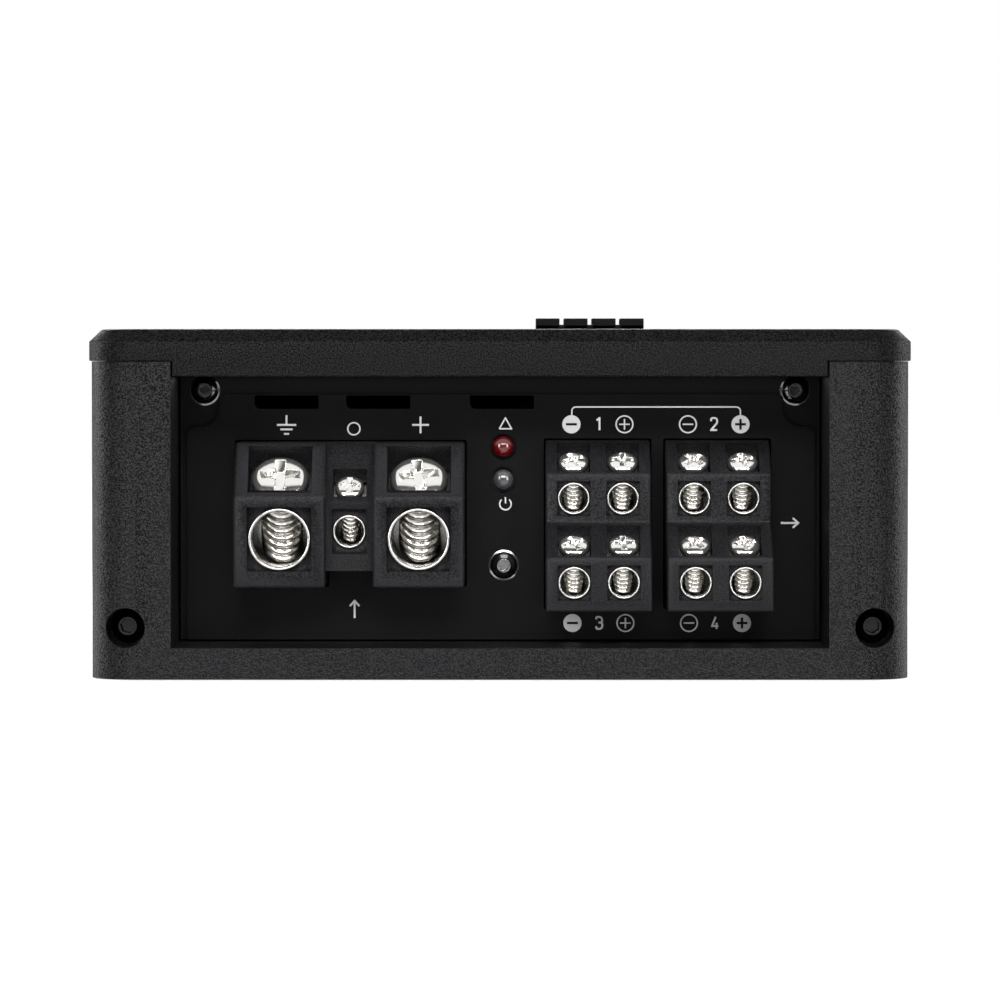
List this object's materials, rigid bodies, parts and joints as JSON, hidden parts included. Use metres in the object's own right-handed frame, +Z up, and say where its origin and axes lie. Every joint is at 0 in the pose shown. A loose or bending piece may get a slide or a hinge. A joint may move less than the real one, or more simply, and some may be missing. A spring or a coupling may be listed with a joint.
{
  "type": "car amplifier",
  "caption": "Compact car audio amplifier with a finned body, a power terminal block and speaker terminal blocks in a recessed end, and input sockets and controls at the other.",
  "frame": {"origin": "middle of the underside, on the surface the amplifier stands on", "axes": "+Z up, +Y from the terminal end to the input end, +X to the right as one looks at the terminal end"},
  "size_m": [0.1262, 0.2, 0.0553],
  "materials": {
    "powder_black": "fine grained black powder coat on aluminium",
    "satin_black": "smooth satin black",
    "terminal_plastic": "fine matte moulded",
    "nickel": "bright nickel plate",
    "black_zinc": "black zinc plate",
    "circuit_board": "green solder mask",
    "red_lens": "clear red",
    "grey_lens": "clear grey",
    "copper": "enamelled wire",
    "sleeve": "shrunk sleeve",
    "aluminium": "milled"
  },
  "bodies": {
    "root": {"top_cover": "powder_black", "front_frame": "powder_black", "rear_frame": "powder_black", "heatsink": "powder_black", "front_panel": "satin_black", "rear_panel": "satin_black", "badge": "satin_black", "power_terminal_block": "terminal_plastic", "speaker_terminal_block_left": "terminal_plastic", "speaker_terminal_block_right": "terminal_plastic", "rca_block": "terminal_plastic", "ground_clamp": "nickel", "supply_clamp": "nickel", "remote_clamp": "nickel", "speaker_left_upper_1_clamp": "nickel", "speaker_left_lower_1_clamp": "nickel", "speaker_left_upper_2_clamp": "nickel", "speaker_left_lower_2_clamp": "nickel", "speaker_right_upper_1_clamp": "nickel", "speaker_right_lower_1_clamp": "nickel", "speaker_right_upper_2_clamp": "nickel", "speaker_right_lower_2_clamp": "nickel", "rca_shell": "nickel", "front_panel_screw_left": "black_zinc", "front_panel_screw_right": "black_zinc", "rear_panel_screw_left": "black_zinc", "rear_panel_screw_right": "black_zinc", "front_frame_screw_left": "black_zinc", "front_frame_screw_right": "black_zinc", "rear_frame_screw_left": "black_zinc", "rear_frame_screw_right": "black_zinc", "front_panel_screw_centre": "black_zinc", "cover_screw_1": "black_zinc", "cover_screw_2": "black_zinc", "cover_screw_3": "black_zinc", "cover_screw_4": "black_zinc", "main_board": "circuit_board", "control_board": "circuit_board", "indicator_pro": "red_lens", "indicator_pwr": "grey_lens", "transformer": "copper", "capacitor": "sleeve", "transistor_bar": "aluminium"},
    "ground_clamp_screw": {"ground_clamp_screw": "nickel"},
    "supply_clamp_screw": {"supply_clamp_screw": "nickel"},
    "remote_clamp_screw": {"remote_clamp_screw": "nickel"},
    "speaker_left_upper_1_clamp_screw": {"speaker_left_upper_1_clamp_screw": "nickel"},
    "speaker_left_lower_1_clamp_screw": {"speaker_left_lower_1_clamp_screw": "nickel"},
    "speaker_left_upper_2_clamp_screw": {"speaker_left_upper_2_clamp_screw": "nickel"},
    "speaker_left_lower_2_clamp_screw": {"speaker_left_lower_2_clamp_screw": "nickel"},
    "speaker_right_upper_1_clamp_screw": {"speaker_right_upper_1_clamp_screw": "nickel"},
    "speaker_right_lower_1_clamp_screw": {"speaker_right_lower_1_clamp_screw": "nickel"},
    "speaker_right_upper_2_clamp_screw": {"speaker_right_upper_2_clamp_screw": "nickel"},
    "speaker_right_lower_2_clamp_screw": {"speaker_right_lower_2_clamp_screw": "nickel"},
    "front_gain_knob": {"front_gain_knob": "satin_black"},
    "front_crossover_knob": {"front_crossover_knob": "satin_black"},
    "rear_gain_knob": {"rear_gain_knob": "satin_black"},
    "rear_crossover_knob": {"rear_crossover_knob": "satin_black"},
    "front_filter_switch": {"front_filter_switch": "satin_black"},
    "rear_filter_switch": {"rear_filter_switch": "satin_black"}
  },
  "joints": [
    {"name": "ground_turn", "type": "hinge", "parent": "root", "child": "ground_clamp_screw", "pos_m": [-0.034, -0.08775, 0.03185], "axis": [0, -0.7071, 0.7071], "range_deg": [-810, 1530]},
    {"name": "supply_turn", "type": "hinge", "parent": "root", "child": "supply_clamp_screw", "pos_m": [-0.01252, -0.08775, 0.03185], "axis": [0, -0.7071, 0.7071], "range_deg": [-810, 1530]},
    {"name": "remote_turn", "type": "hinge", "parent": "root", "child": "remote_clamp_screw", "pos_m": [-0.02325, -0.0871, 0.0298], "axis": [0, -0.7071, 0.7071], "range_deg": [-810, 1530]},
    {"name": "speaker_left_upper_1_turn", "type": "hinge", "parent": "root", "child": "speaker_left_upper_1_clamp_screw", "pos_m": [0.01141, -0.083, 0.03363], "axis": [0, -0.565, 0.8251], "range_deg": [-810, 1530]},
    {"name": "speaker_left_lower_1_turn", "type": "hinge", "parent": "root", "child": "speaker_left_lower_1_clamp_screw", "pos_m": [0.01141, -0.0906, 0.02093], "axis": [0, -0.565, 0.8251], "range_deg": [-810, 1530]},
    {"name": "speaker_left_upper_2_turn", "type": "hinge", "parent": "root", "child": "speaker_left_upper_2_clamp_screw", "pos_m": [0.01903, -0.083, 0.03363], "axis": [0, -0.565, 0.8251], "range_deg": [-810, 1530]},
    {"name": "speaker_left_lower_2_turn", "type": "hinge", "parent": "root", "child": "speaker_left_lower_2_clamp_screw", "pos_m": [0.01903, -0.0906, 0.02093], "axis": [0, -0.565, 0.8251], "range_deg": [-810, 1530]},
    {"name": "speaker_right_upper_1_turn", "type": "hinge", "parent": "root", "child": "speaker_right_upper_1_clamp_screw", "pos_m": [0.03007, -0.083, 0.03363], "axis": [0, -0.565, 0.8251], "range_deg": [-810, 1530]},
    {"name": "speaker_right_lower_1_turn", "type": "hinge", "parent": "root", "child": "speaker_right_lower_1_clamp_screw", "pos_m": [0.03007, -0.0906, 0.02093], "axis": [0, -0.565, 0.8251], "range_deg": [-810, 1530]},
    {"name": "speaker_right_upper_2_turn", "type": "hinge", "parent": "root", "child": "speaker_right_upper_2_clamp_screw", "pos_m": [0.03769, -0.083, 0.03363], "axis": [0, -0.565, 0.8251], "range_deg": [-810, 1530]},
    {"name": "speaker_right_lower_2_turn", "type": "hinge", "parent": "root", "child": "speaker_right_lower_2_clamp_screw", "pos_m": [0.03769, -0.0906, 0.02093], "axis": [0, -0.565, 0.8251], "range_deg": [-810, 1530]},
    {"name": "front_gain_knob_turn", "type": "hinge", "parent": "root", "child": "front_gain_knob", "pos_m": [0, 0.0845, 0.031], "axis": [0, 1, 0], "range_deg": [-135, 135]},
    {"name": "front_crossover_knob_turn", "type": "hinge", "parent": "root", "child": "front_crossover_knob", "pos_m": [-0.0125, 0.0845, 0.031], "axis": [0, 1, 0], "range_deg": [-135, 135]},
    {"name": "rear_gain_knob_turn", "type": "hinge", "parent": "root", "child": "rear_gain_knob", "pos_m": [-0.025, 0.0845, 0.031], "axis": [0, 1, 0], "range_deg": [-135, 135]},
    {"name": "rear_crossover_knob_turn", "type": "hinge", "parent": "root", "child": "rear_crossover_knob", "pos_m": [-0.0375, 0.0845, 0.031], "axis": [0, 1, 0], "range_deg": [-135, 135]},
    {"name": "front_filter_switch_slide", "type": "slide", "parent": "root", "child": "front_filter_switch", "axis": [1, 0, 0], "range_m": [-0.0022, 0.0022]},
    {"name": "rear_filter_switch_slide", "type": "slide", "parent": "root", "child": "rear_filter_switch", "axis": [1, 0, 0], "range_m": [-0.0022, 0.0022]}
  ]
}
